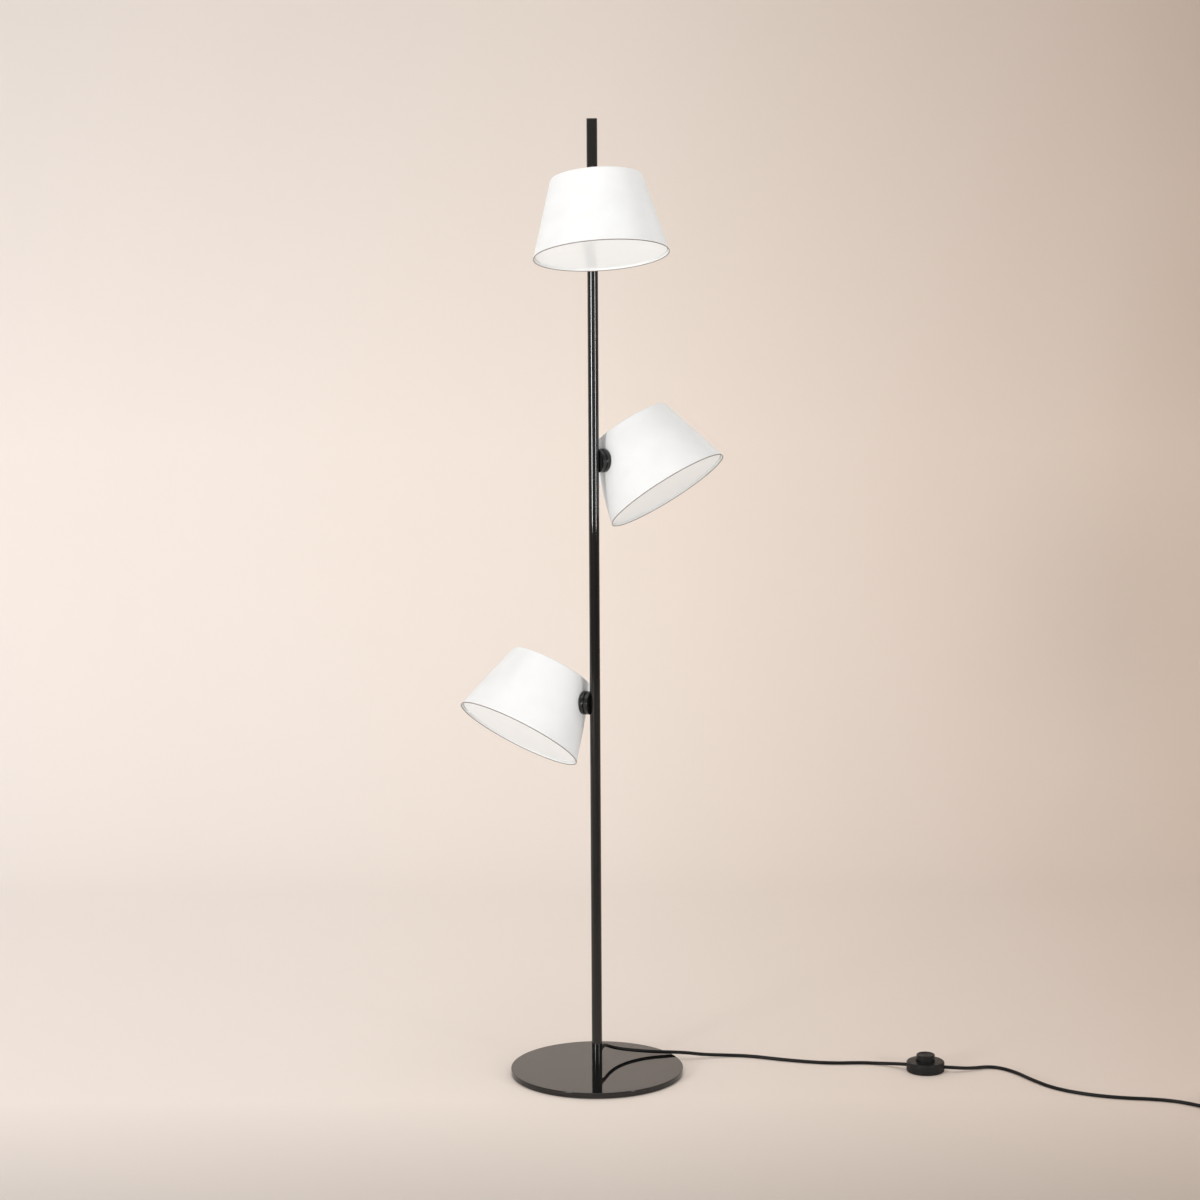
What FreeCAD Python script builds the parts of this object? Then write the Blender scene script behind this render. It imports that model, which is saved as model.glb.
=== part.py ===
import FreeCAD, Part
import math
import os

# Floor lamp with three turning shades on one slim pole.
#
# Frame: millimetres, +Z up, origin on the floor under the pole's axis. Seen from the
# front (looking along +Y) the mains cord runs off to the right, along +X.
# A round steel plate carries a tube. Three short hubs stand out of the tube, a third of a
# turn apart, and each holds a conical shade that turns about the hub's own level axis.
# The side of the shade that faces the pole stays parallel to it, so a shade never meets
# the pole however far it turns. Bulb and lampholder stay still on the hub's hollow shaft.

os.makedirs("parts", exist_ok=True)
V = FreeCAD.Vector
ORIGIN = V(0, 0, 0)
X_AXIS, Y_AXIS, Z_AXIS = V(1, 0, 0), V(0, 1, 0), V(0, 0, 1)

# ---------------------------------------------------------------- driving dimensions (mm)
# Clearances, shared by every fit
running_clearance = 0.05        # radial, a turning or sliding fit
screw_clearance = 0.2           # radial, a fastener through a plain hole
face_clearance = 0.05           # between two faces that turn on each other

# Base
base_diameter = 300.0
base_thickness = 10.0
base_edge_round = 1.2
pad_thickness = 1.0
pad_inset = 8.0                 # from the plate's edge

# Pole
lamp_height = 1645.0            # floor to the top of the pole's cap
pole_diameter = 18.0
pole_wall = 1.5
cap_thickness = 2.5
cap_spigot_length = 12.0
foot_plug_length = 25.0

# Bolt that pulls the pole on to the plate
bolt_diameter = 10.0
bolt_engagement = 18.0          # into the foot plug
bolt_head_diameter = 16.0
bolt_head_height = 4.4
bolt_key_width = 6.0            # across the flats of its hexagon
bolt_key_depth = 2.6
bolt_washer_diameter = 20.0
bolt_washer_thickness = 1.6
bolt_recess_margin = 1.5        # radial, round the washer
bolt_web = 3.4                  # steel left between the recess and the plate's top

# Hubs: three on the pole, each a fixed collar and a turning knob on a hollow shaft
head_names = ("low", "middle", "top")
lowest_hub_height = 655.0
top_hub_below_pole_top = 156.0
lowest_hub_azimuth = 155.5      # degrees from +X, seen from above
hub_azimuth_step = -120.0
head_turns = {"low": 31.5, "middle": -32.5, "top": 2.0}   # as the shades stand
collar_diameter = 40.0
collar_reach = 4.5              # out of the pole's surface
collar_wrap = 2.5               # back round the pole
collar_edge_round = 0.8
friction_washer_diameter = 30.0
friction_washer_thickness = 1.0
knob_diameter = 41.0
knob_edge_round = 2.0
pole_to_shade_distance = 12.5   # from the pole's surface to the shade's wall
shaft_diameter = 10.0
shaft_bore = 7.0
sleeve_length = 24.0            # threaded sleeve inside the pole
sleeve_bore = 8.0

# Turning stop: a peg on the knob runs in an arc in the collar's face
stop_half_range = 165.0         # degrees each way from the upright shade
stop_radius = 17.4
stop_peg_diameter = 2.8
stop_peg_depth = 1.2            # into the collar
stop_play = 0.3                 # round the peg

# Behind the shade's wall
back_plate_diameter = 38.0
back_plate_reach = 4.5          # out of the wall's inner face
thrust_washer_diameter = 20.0
thrust_washer_thickness = 1.0
disc_spring_diameter = 18.0
disc_spring_thickness = 0.8
disc_spring_height = 1.4
lock_nut_width = 14.0           # across flats
lock_nut_thickness = 4.0
plate_screw_diameter = 3.0
plate_screw_offset = 14.5       # from the hub's axis
plate_screw_engagement = 4.0    # into the knob
plate_screw_head_diameter = 5.6
plate_screw_head_height = 1.8

# Shade
mouth_diameter = 224.0
shade_top_diameter = 152.0
shade_height = 130.0
shade_wall = 1.2
shade_top_round = 3.0
hub_below_shade_top = 37.0      # measured along the cone's axis

# Diffuser
diffuser_thickness = 3.0
diffuser_recess = 4.0           # from the mouth
diffuser_edge_gap = 1.5
clip_count = 3
clip_arc = 6.0                  # degrees of the mouth that one clip covers
clip_thickness = 1.0
clip_lip = 4.0                  # over the diffuser's face
clip_height = 16.0

# Lampholder and bulb (screw cap 27)
holder_gap = 1.0                # behind the lock nut
holder_diameter = 39.0
holder_neck_diameter = 22.0
holder_neck_length = 4.0
holder_shoulder_length = 7.0
holder_length = 50.0
socket_diameter = 27.4
socket_depth = 27.0
shaft_in_holder = 8.0
bulb_cap_diameter = 26.4
bulb_cap_length = 25.0
bulb_diameter = 60.0
bulb_length = 108.0

# Wiring and the way out for the cord
wiring_diameter = 5.0
branch_diameter = 3.0
gland_height = 42.0             # above the floor
gland_azimuth = 62.0            # degrees from +X
gland_hole_diameter = 8.0
gland_flange_diameter = 13.0
gland_flange_thickness = 1.5
gland_relief_length = 15.0
gland_root_diameter = 9.5
gland_tip_diameter = 7.2
gland_barb = 1.0

# Cord
cord_diameter = 6.0
cord_floor_gap = 0.1

# Foot switch
switch_centre_x = 573.0
switch_centre_y = 0.0
switch_heading = -15.0          # degrees, the way the cord passes through
switch_diameter = 66.0
switch_height = 18.0
switch_wall = 2.0
switch_top_thickness = 2.5
switch_edge_round = 3.0
switch_base_thickness = 3.0
switch_skirt_gap = 0.8          # under the cover's edge
switch_cord_height = 9.0
button_diameter = 32.0
button_top_height = 30.0
button_hole_gap = 0.5
button_flange_width = 2.5
button_flange_thickness = 2.0
button_flange_play = 0.2
button_edge_round = 1.5
button_dish_depth = 1.0
button_rim_width = 3.0
button_bore_diameter = 14.0
button_bore_depth = 8.0
spring_wire_diameter = 1.0
spring_diameter = 11.0          # at the middle of the wire
spring_turns = 5
terminal_plate_diameter = 30.0
terminal_plate_height = 5.5
terminal_post_reach = 24.0      # from the switch's centre to where a cord ends
terminal_post_thickness = 4.5
terminal_post_width = 12.0
terminal_post_height = 10.0
switch_screw_offset = 25.0
switch_boss_diameter = 7.0
switch_screw_diameter = 3.0
switch_screw_head_diameter = 5.5
switch_screw_head_height = 1.6
switch_screw_length = 11.0

# Coil of spare cord and its tie
coil_entry_x = 1052.0
coil_entry_y = -249.0
coil_heading = -42.0            # degrees, the way the cord runs into the coil
coil_outer_radius = 44.5        # at the middle of the cord
coil_step = 6.6                 # from one turn to the next, sideways and upwards
coil_quarters_per_layer = 11
coil_layers = 2
coil_lift = 1.2                 # the tie passes under the coil
tie_angle = 60.0
tie_width = 12.0
tie_thickness = 0.9
tie_gap = 0.3

# Plug
plug_length = 36.0
plug_width = 26.0
plug_thickness = 14.0
plug_corner_round = 5.0
plug_edge_round = 2.5
plug_relief_length = 22.0
plug_relief_root_diameter = 10.0
plug_relief_tip_diameter = 7.2
pin_diameter = 4.0
pin_length = 19.0
pin_spacing = 18.6
pin_root_length = 6.0

# ---------------------------------------------------------------- derived sizes
plate_top = pad_thickness + base_thickness
pole_radius = pole_diameter / 2
pole_inner_radius = pole_radius - pole_wall
shaft_radius = shaft_diameter / 2

# Along a hub's axis, from the pole's axis outwards
collar_face = pole_radius + collar_reach
knob_face = collar_face + friction_washer_thickness + face_clearance
shade_face = pole_radius + pole_to_shade_distance
back_plate_face = shade_face + shade_wall + back_plate_reach
thrust_washer_face = back_plate_face + thrust_washer_thickness
disc_spring_start = thrust_washer_face + face_clearance
lock_nut_start = disc_spring_start + disc_spring_height
holder_start = lock_nut_start + lock_nut_thickness + holder_gap
holder_end = holder_start + holder_length
shaft_end = holder_start + shaft_in_holder

# The shade's cone: its half angle is also the lean that sets its wall parallel to the pole
mouth_radius = mouth_diameter / 2
shade_top_radius = shade_top_diameter / 2
cone_angle = math.atan((mouth_radius - shade_top_radius) / shade_height)
hub_station = shade_height - hub_below_shade_top


# ---------------------------------------------------------------- plain helpers
def ground_direction(degrees):
    """The level unit vector at an angle from +X."""
    return V(math.cos(math.radians(degrees)), math.sin(math.radians(degrees)), 0)


def turned(outline):
    """A solid turned about Z from a closed outline of (radius, height) points."""
    points = [V(radius, 0, height) for radius, height in outline]
    face = Part.Face(Part.makePolygon(points + points[:1]))
    return face.revolve(ORIGIN, Z_AXIS, 360)


def cylinder(diameter, low, high):
    """A cylinder about Z between two heights."""
    return Part.makeCylinder(diameter / 2, high - low, V(0, 0, low))


def ring(outer_diameter, inner_diameter, low, high):
    """A flat ring about Z between two heights."""
    return cylinder(outer_diameter, low, high).cut(cylinder(inner_diameter, low, high))


def hexagon(width, low, high):
    """A hexagonal bar about Z, measured across its flats."""
    corner = width / math.sqrt(3)
    points = [ground_direction(60 * side) * corner + V(0, 0, low) for side in range(7)]
    return Part.Face(Part.makePolygon(points)).extrude(V(0, 0, high - low))


def circles_at(solid, diameter, height):
    """The circular edges of one diameter that lie about Z at one height."""
    found = []
    for edge in solid.Edges:
        curve = edge.Curve
        if not isinstance(curve, Part.Circle):
            continue
        if abs(curve.Radius - diameter / 2) < 1e-4 and abs(curve.Center.z - height) < 1e-4:
            found.append(edge)
    return found


def along_hub(shape):
    """Lays a shape that was made about Z along the hub's axis, local +X."""
    return shape.rotated(ORIGIN, Y_AXIS, 90)


def hub_cylinder(diameter, start, end, height=0.0):
    """A cylinder along the hub's axis, or above it."""
    return Part.makeCylinder(diameter / 2, end - start, V(start, 0, height), X_AXIS)


# ---------------------------------------------------------------- cords
def fillet_route(points, label, least_radius):
    """Straight runs joined by tangent arcs, each as large as its two runs allow."""
    edges = []
    radii = []
    start = points[0]
    for before, corner, after in zip(points, points[1:], points[2:]):
        run_in, run_out = corner - before, after - corner
        half_turn = run_in.getAngle(run_out) / 2
        setback = 0.45 * min(run_in.Length, run_out.Length)
        radii.append(setback / math.tan(half_turn))
        direction_in = V(run_in).normalize()
        direction_out = V(run_out).normalize()
        arc_start = corner - direction_in * setback
        arc_end = corner + direction_out * setback
        inward = V(direction_out - direction_in).normalize()
        sagitta_point = corner + inward * (setback * (1 / math.sin(math.pi / 2 - half_turn) - 1)
                                           / math.tan(half_turn))
        edges.append(Part.LineSegment(start, arc_start).toShape())
        edges.append(Part.Arc(arc_start, sagitta_point, arc_end).toShape())
        start = arc_end
    edges.append(Part.LineSegment(start, points[-1]).toShape())
    print(label, "arc radii", [round(radius) for radius in radii], "least allowed", least_radius)
    return Part.Wire(edges)


def tube(path, diameter, label):
    """A round tube swept along a wire, with its volume checked against section x length."""
    first = path.Edges[0]
    direction = first.tangentAt(first.FirstParameter)
    section = Part.Wire(Part.makeCircle(diameter / 2, first.valueAt(first.FirstParameter), direction))
    solid = path.makePipeShell([section], True, False)
    expected = math.pi * diameter ** 2 / 4 * path.Length
    print(label, "length %.1f" % path.Length, "volume ratio %.4f" % (solid.Volume / expected))
    return solid


def arc_towards(start, direction, end):
    """The arc that leaves start along direction and reaches end."""
    chord = end - start
    along = V(chord).normalize()
    sideways = direction - along * direction.dot(along)
    if sideways.Length < 1e-9:
        return Part.LineSegment(start, end).toShape()
    half_angle = direction.getAngle(chord)
    bow = chord.Length / 2 * math.tan(half_angle / 2)
    middle = start + chord * 0.5 + sideways.normalize() * bow
    return Part.Arc(start, middle, end).toShape()


def biarc(start, start_direction, end, end_direction):
    """Two arcs that join two points and keep the direction at each."""
    span = end - start
    both = span.dot(start_direction + end_direction)
    spread = 1 - start_direction.dot(end_direction)
    reach = (math.sqrt(both ** 2 + 2 * spread * span.dot(span)) - both) / (2 * spread)
    joint = (start + start_direction * reach + end - end_direction * reach) * 0.5
    first = arc_towards(start, start_direction, joint)
    second = arc_towards(end, -end_direction, joint)
    return [first, Part.Arc(joint, second.valueAt((second.FirstParameter + second.LastParameter) / 2),
                            end).toShape()]


def wound_path(place, quarters, straight_end):
    """Biarcs of a quarter turn through place(angle), with a straight length at each end.

    place gives the point and its direction at an angle in radians.
    """
    stations = [place(quarter * math.pi / 2) for quarter in range(quarters + 1)]
    first_point, first_direction = stations[0]
    last_point, last_direction = stations[-1]
    edges = []
    if straight_end > 0:
        lead_in = first_point - first_direction * straight_end
        edges.append(Part.LineSegment(lead_in, first_point).toShape())
    for (point, direction), (next_point, next_direction) in zip(stations, stations[1:]):
        edges.extend(biarc(point, direction, next_point, next_direction))
    if straight_end > 0:
        lead_out = last_point + last_direction * straight_end
        edges.append(Part.LineSegment(last_point, lead_out).toShape())
    return Part.Wire(edges)


def least_gap(path, diameter, label):
    """Prints the least gap between stretches of a wound tube that lie over half a turn apart."""
    spacing = diameter / 3
    points = path.discretize(Distance=spacing)
    skip = int(diameter * 4 / spacing)
    least = min(
        point.distanceToPoint(other)
        for index, point in enumerate(points)
        for other in points[index + skip:]
    )
    print(label, "least gap to itself %.2f" % (least - diameter))


# ---------------------------------------------------------------- base
def base_parts():
    """Steel plate, foam pad, and the bolt and washer that hold the pole."""
    recess_diameter = bolt_washer_diameter + 2 * bolt_recess_margin
    recess_top = plate_top - bolt_web
    plate = cylinder(base_diameter, pad_thickness, plate_top)
    plate = plate.makeFillet(base_edge_round, circles_at(plate, base_diameter, plate_top))
    plate = plate.makeChamfer(base_edge_round / 2, circles_at(plate, base_diameter, pad_thickness))
    plate = plate.cut(cylinder(recess_diameter, pad_thickness, recess_top))
    plate = plate.cut(cylinder(bolt_diameter + 2 * screw_clearance, recess_top, plate_top))

    pad = cylinder(base_diameter - 2 * pad_inset, 0, pad_thickness)

    washer_low = recess_top - bolt_washer_thickness
    washer = ring(bolt_washer_diameter, bolt_diameter + 2 * screw_clearance, washer_low, recess_top)

    head_low = washer_low - bolt_head_height
    bolt = cylinder(bolt_head_diameter, head_low, washer_low)
    bolt = bolt.fuse(cylinder(bolt_diameter, washer_low, plate_top + bolt_engagement))
    bolt = bolt.cut(hexagon(bolt_key_width, head_low, head_low + bolt_key_depth))
    return {"base_plate": plate, "base_pad": pad, "base_washer": washer, "base_bolt": bolt}


# ---------------------------------------------------------------- pole
def hub_height(index):
    """The hubs stand at equal steps between the lowest and the one near the pole's top."""
    top_hub_height = lamp_height - top_hub_below_pole_top
    return lowest_hub_height + (top_hub_height - lowest_hub_height) * index / (len(head_names) - 1)


def hub_azimuth(index):
    return lowest_hub_azimuth + index * hub_azimuth_step


def on_hub(shape, index):
    """Takes a shape from a hub's local frame (+X out of the pole) to its place on the pole."""
    placed = shape.rotated(ORIGIN, Z_AXIS, hub_azimuth(index))
    return placed.translated(V(0, 0, hub_height(index)))


def upright_bar(radius):
    """A bar on the pole's axis, long enough to saddle any piece of a hub to the pole."""
    return Part.makeCylinder(radius, 2 * collar_diameter, V(0, 0, -collar_diameter))


def gland_hole():
    """The drilling in the pole's wall that the cord comes out of."""
    hole = Part.makeCylinder(gland_hole_diameter / 2, pole_diameter, ORIGIN, X_AXIS)
    return hole.rotated(ORIGIN, Z_AXIS, gland_azimuth).translated(V(0, 0, gland_height))


def pole_parts():
    """Tube, foot plug, top cap, and the threaded sleeves behind the hubs."""
    cap_low = lamp_height - cap_thickness
    pole = ring(pole_diameter, 2 * pole_inner_radius, plate_top, cap_low)
    pole = pole.cut(gland_hole())

    plug_diameter = 2 * (pole_inner_radius - running_clearance)
    foot_plug = ring(plug_diameter, bolt_diameter + 2 * running_clearance,
                     plate_top, plate_top + foot_plug_length)

    cap = cylinder(pole_diameter, cap_low, lamp_height)
    cap = cap.makeFillet(cap_thickness / 3, circles_at(cap, pole_diameter, lamp_height))
    cap = cap.fuse(cylinder(plug_diameter, cap_low - cap_spigot_length, cap_low))

    sleeves = []
    for index in range(len(head_names)):
        shaft_hole = on_hub(hub_cylinder(shaft_diameter + 2 * running_clearance, 0, pole_diameter), index)
        pole = pole.cut(shaft_hole)
        middle = hub_height(index)
        sleeve = ring(plug_diameter, sleeve_bore, middle - sleeve_length / 2, middle + sleeve_length / 2)
        sleeves.append(sleeve.cut(shaft_hole))
    return {
        "pole_tube": pole,
        "pole_foot_plug": foot_plug,
        "pole_top_cap": cap,
        "hub_thread_sleeves": Part.makeCompound(sleeves),
    }


def wiring():
    """The lead that rises in the pole, with a branch through each hub to its lampholder."""
    top_hub = hub_height(len(head_names) - 1)
    lead = cylinder(wiring_diameter, gland_height - wiring_diameter / 2, top_hub + branch_diameter / 2)
    inlet = Part.makeCylinder(wiring_diameter / 2, gland_inner_end(), ORIGIN, X_AXIS)
    lead = lead.fuse(inlet.rotated(ORIGIN, Z_AXIS, gland_azimuth).translated(V(0, 0, gland_height)))
    for index in range(len(head_names)):
        lead = lead.fuse(on_hub(hub_cylinder(branch_diameter, 0, shaft_end), index))
    return lead.removeSplitter()


def gland_inner_end():
    """Where the gland ends inside the pole, from the pole's axis."""
    return pole_inner_radius - gland_barb


def gland_tip():
    """Where the cord leaves the gland's strain relief, from the pole's axis."""
    return pole_radius + gland_flange_thickness + gland_relief_length


def cord_gland():
    """Moulded bush with a tapered strain relief, pressed into the back of the pole."""
    flange_face = pole_radius + gland_flange_thickness
    flange_radius = gland_flange_diameter / 2
    outside = turned([
        (0, 0), (flange_radius, 0), (flange_radius, flange_face), (gland_root_diameter / 2, flange_face),
        (gland_tip_diameter / 2, gland_tip()), (0, gland_tip()),
    ])
    bush = along_hub(outside).cut(upright_bar(pole_radius))
    spigot = hub_cylinder(gland_hole_diameter - 2 * running_clearance, gland_inner_end(), flange_face)
    gland = bush.fuse(spigot).removeSplitter()
    return gland.rotated(ORIGIN, Z_AXIS, gland_azimuth).translated(V(0, 0, gland_height))


# ---------------------------------------------------------------- shade, in its hub's frame
def cone_wall_offset(distance):
    """How much the radius shrinks when the cone's wall moves inwards by a distance."""
    return distance / math.cos(cone_angle)


def cone_radius(station):
    """Outer radius of the shade at a distance from its mouth."""
    return mouth_radius - math.tan(cone_angle) * station


def shade_to_hub(shape):
    """Takes a shape from the shade's frame (mouth at Z = 0, top at +Z) to its hub's frame.

    The cone leans by its half angle, and its wall touches the knob's end on the hub's axis.
    """
    hub_radius = cone_radius(hub_station)
    lean = math.degrees(cone_angle)
    centre = V(
        shade_face + hub_radius * math.cos(cone_angle) + hub_station * math.sin(cone_angle),
        0,
        hub_radius * math.sin(cone_angle) - hub_station * math.cos(cone_angle),
    )
    return shape.rotated(ORIGIN, Y_AXIS, -lean).translated(centre)


def shade_block():
    """The space that the shade fills from outside, before it is hollowed."""
    block = Part.makeCone(mouth_radius, shade_top_radius, shade_height)
    return block.makeFillet(shade_top_round, circles_at(block, shade_top_diameter, shade_height))


def shade_space():
    """The space inside the shade, open past its mouth."""
    below = 2.0
    top = shade_height - shade_wall
    inset = cone_wall_offset(shade_wall)
    low_radius = cone_radius(-below) - inset
    top_radius = cone_radius(top) - inset
    space = Part.makeCone(low_radius, top_radius, top + below, V(0, 0, -below))
    round_inside = max(shade_top_round - shade_wall, shade_wall / 2)
    return space.makeFillet(round_inside, circles_at(space, 2 * top_radius, top))


def plate_screw_heights():
    """The two back plate screws stand above and below the hub's axis."""
    return (plate_screw_offset, -plate_screw_offset)


def shade():
    """Spun metal cone, closed at the top, drilled for the shaft and two screws."""
    shell = shade_to_hub(shade_block().cut(shade_space()))
    drill_end = back_plate_face
    shell = shell.cut(hub_cylinder(shaft_diameter + 2 * screw_clearance, 0, drill_end))
    for height in plate_screw_heights():
        hole = hub_cylinder(plate_screw_diameter + 2 * screw_clearance, 0, drill_end, height)
        shell = shell.cut(hole)
    return shell


def knob():
    """Turning half of the hub, saddled to the shade's cone, with the stop peg in its face."""
    disc_end = shade_face + knob_edge_round / 2
    body_end = shade_face + 2 * knob_edge_round
    disc = cylinder(knob_diameter, knob_face, disc_end)
    rims = circles_at(disc, knob_diameter, knob_face) + circles_at(disc, knob_diameter, disc_end)
    disc = disc.makeFillet(knob_edge_round, rims)
    core = cylinder(knob_diameter - 2 * knob_edge_round, knob_face, body_end)
    body = along_hub(disc.fuse(core)).cut(shade_to_hub(shade_block()))
    body = body.cut(hub_cylinder(shaft_diameter + 2 * running_clearance, 0, body_end))
    for height in plate_screw_heights():
        body = body.cut(hub_cylinder(plate_screw_diameter, shade_face - plate_screw_engagement,
                                     body_end, height))
    peg = hub_cylinder(stop_peg_diameter, collar_face - stop_peg_depth,
                       knob_face + knob_edge_round, stop_radius)
    return body.fuse(peg).removeSplitter()


def back_plate():
    """Saddle that clamps the shade's wall to the knob from inside."""
    blank = hub_cylinder(back_plate_diameter, shade_face, back_plate_face)
    plate = blank.common(shade_to_hub(shade_space()))
    plate = plate.cut(hub_cylinder(shaft_diameter + 2 * screw_clearance, 0, back_plate_face))
    for height in plate_screw_heights():
        hole = hub_cylinder(plate_screw_diameter + 2 * screw_clearance, 0, back_plate_face, height)
        plate = plate.cut(hole)
    return plate


def plate_screws():
    """Two pan head screws, from inside the shade into the knob."""
    screws = []
    for height in plate_screw_heights():
        shank = hub_cylinder(plate_screw_diameter, shade_face - plate_screw_engagement,
                             back_plate_face, height)
        head = hub_cylinder(plate_screw_head_diameter, back_plate_face,
                            back_plate_face + plate_screw_head_height, height)
        screws.append(shank.fuse(head))
    return Part.makeCompound(screws)


def thrust_washer():
    return along_hub(ring(thrust_washer_diameter, shaft_diameter + 2 * screw_clearance,
                          back_plate_face, thrust_washer_face))


def inner_wall(station, inset=0.0):
    """Radius of the shade's inner face at a station, less an inset square to the wall."""
    return cone_radius(station) - cone_wall_offset(shade_wall + inset)


def diffuser():
    """Opal disc with a tapered edge, set a little way inside the mouth."""
    low, high = diffuser_recess, diffuser_recess + diffuser_thickness
    disc = turned([
        (0, low), (inner_wall(low, diffuser_edge_gap), low),
        (inner_wall(high, diffuser_edge_gap), high), (0, high),
    ])
    return shade_to_hub(disc)


def diffuser_clips():
    """Folded strips on the shade's inner wall, each with a lip on both sides of the disc."""
    low, high = diffuser_recess - clip_thickness, diffuser_recess + clip_height
    disc_low, disc_high = diffuser_recess, diffuser_recess + diffuser_thickness
    lip_radius = inner_wall(disc_low) - diffuser_edge_gap - clip_lip
    upper_lip = disc_high + clip_thickness
    back = face_clearance
    front = face_clearance + clip_thickness
    outline = [
        (inner_wall(low, back), low), (inner_wall(high, back), high), (inner_wall(high, front), high),
        (inner_wall(upper_lip, front), upper_lip), (lip_radius, upper_lip),
        (lip_radius, disc_high), (inner_wall(disc_high, front), disc_high),
        (inner_wall(disc_low, front), disc_low), (lip_radius, disc_low), (lip_radius, low),
    ]
    points = [V(radius, 0, station) for radius, station in outline]
    profile = Part.Face(Part.makePolygon(points + points[:1]))
    clips = []
    for number in range(clip_count):
        start = number * 360 / clip_count - clip_arc / 2
        clip = profile.rotated(ORIGIN, Z_AXIS, start).revolve(ORIGIN, Z_AXIS, clip_arc)
        clips.append(shade_to_hub(clip))
    return Part.makeCompound(clips)


# ---------------------------------------------------------------- fixed half of a hub
def collar():
    """Fixed half of the hub: saddled to the pole, with the stop's arc in its outer face."""
    collar_back = pole_radius - collar_wrap
    blank = cylinder(collar_diameter, collar_back, collar_face)
    rims = circles_at(blank, collar_diameter, collar_back) + circles_at(blank, collar_diameter, collar_face)
    blank = blank.makeFillet(collar_edge_round, rims)
    body = along_hub(blank)
    body = body.cut(upright_bar(pole_radius))
    body = body.cut(hub_cylinder(shaft_diameter + 2 * running_clearance, 0, collar_face))

    groove_width = stop_peg_diameter + 2 * stop_play
    groove_depth = stop_peg_depth + stop_play
    end_margin = math.degrees(math.asin((stop_peg_diameter / 2 + stop_play) / stop_radius))
    half_arc = stop_half_range + end_margin
    corner = V(collar_face - groove_depth, 0, stop_radius - groove_width / 2)
    section = Part.Face(Part.makePolygon([
        corner, corner + V(2 * groove_depth, 0, 0), corner + V(2 * groove_depth, 0, groove_width),
        corner + V(0, 0, groove_width), corner,
    ]))
    groove = section.rotated(ORIGIN, X_AXIS, -half_arc).revolve(ORIGIN, X_AXIS, 2 * half_arc)
    return body.cut(groove)


def shaft():
    """Hollow threaded shaft, screwed into the pole's sleeve and carrying the lampholder."""
    return along_hub(ring(shaft_diameter, shaft_bore, sleeve_bore / 2 + screw_clearance, shaft_end))


def friction_washer():
    return along_hub(ring(friction_washer_diameter, shaft_diameter + 2 * running_clearance,
                          collar_face, collar_face + friction_washer_thickness))


def disc_spring():
    """Conical spring washer, its wide end on the thrust washer."""
    inner, outer = shaft_radius + screw_clearance, disc_spring_diameter / 2
    rise = disc_spring_height - disc_spring_thickness
    return along_hub(turned([
        (outer, disc_spring_start), (outer, disc_spring_start + disc_spring_thickness),
        (inner, lock_nut_start), (inner, disc_spring_start + rise),
    ]))


def lock_nut():
    nut = hexagon(lock_nut_width, lock_nut_start, lock_nut_start + lock_nut_thickness)
    bore = cylinder(shaft_diameter + 2 * running_clearance, 0, holder_start)
    return along_hub(nut.cut(bore))


def lampholder():
    """Moulded holder for a screw cap bulb, on the end of the shaft."""
    neck, outer = holder_neck_diameter / 2, holder_diameter / 2
    neck_end = holder_start + holder_neck_length
    shoulder_end = neck_end + holder_shoulder_length
    body = turned([
        (0, holder_start), (neck, holder_start), (neck, neck_end), (outer, shoulder_end),
        (outer, holder_end), (0, holder_end),
    ])
    body = body.cut(cylinder(socket_diameter, holder_end - socket_depth, holder_end))
    body = body.cut(cylinder(shaft_diameter + 2 * running_clearance, 0, shaft_end))
    return along_hub(body)


def bulb():
    """Round bulb: a ball that draws in to a neck, and its cap inside the holder."""
    ball_radius = bulb_diameter / 2
    cap_start = holder_end - bulb_cap_length
    ball_centre = cap_start + bulb_length - ball_radius
    ball = Part.makeSphere(ball_radius, V(0, 0, ball_centre))
    neck_radius = bulb_cap_diameter / 2
    neck_length = ball_centre - holder_end
    # the neck's cone touches the ball
    slope = math.asin((ball_radius - neck_radius) / neck_length) / 2
    touch_height = ball_centre - ball_radius * math.sin(2 * slope)
    touch_radius = ball_radius * math.cos(2 * slope)
    neck = Part.makeCone(neck_radius, touch_radius, touch_height - holder_end, V(0, 0, holder_end))
    cap = cylinder(bulb_cap_diameter, cap_start, holder_end)
    return along_hub(ball.fuse([neck, cap]).removeSplitter())


def head_parts():
    """Every piece of the three heads: the fixed ones, then the ones that turn."""
    parts = {}
    groups = {"friction_washers": [], "disc_springs": [], "lock_nuts": []}
    fixed_pieces = {
        "hub_collar": collar(), "hub_shaft": shaft(), "lampholder": lampholder(), "bulb": bulb(),
    }
    grouped_pieces = {
        "friction_washers": friction_washer(), "disc_springs": disc_spring(), "lock_nuts": lock_nut(),
    }
    turning_pieces = {
        "hub_knob": knob(), "shade": shade(), "back_plate": back_plate(),
        "plate_screws": plate_screws(), "thrust_washer": thrust_washer(),
        "diffuser": diffuser(), "diffuser_clips": diffuser_clips(),
    }
    for index, head in enumerate(head_names):
        for piece, shape in fixed_pieces.items():
            parts[head + "_" + piece] = on_hub(shape, index)
        for group, shape in grouped_pieces.items():
            groups[group].append(on_hub(shape, index))
        for piece, shape in turning_pieces.items():
            as_it_stands = shape.rotated(ORIGIN, X_AXIS, head_turns[head])
            parts[head + "_" + piece] = on_hub(as_it_stands, index)
    for group, shapes in groups.items():
        parts[group] = Part.makeCompound(shapes)
    return parts


# ---------------------------------------------------------------- foot switch
def at_switch(shape):
    """Takes a shape from the switch's frame (cord along +X) to its place on the floor."""
    turned_shape = shape.rotated(ORIGIN, Z_AXIS, switch_heading)
    return turned_shape.translated(V(switch_centre_x, switch_centre_y, 0))


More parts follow.
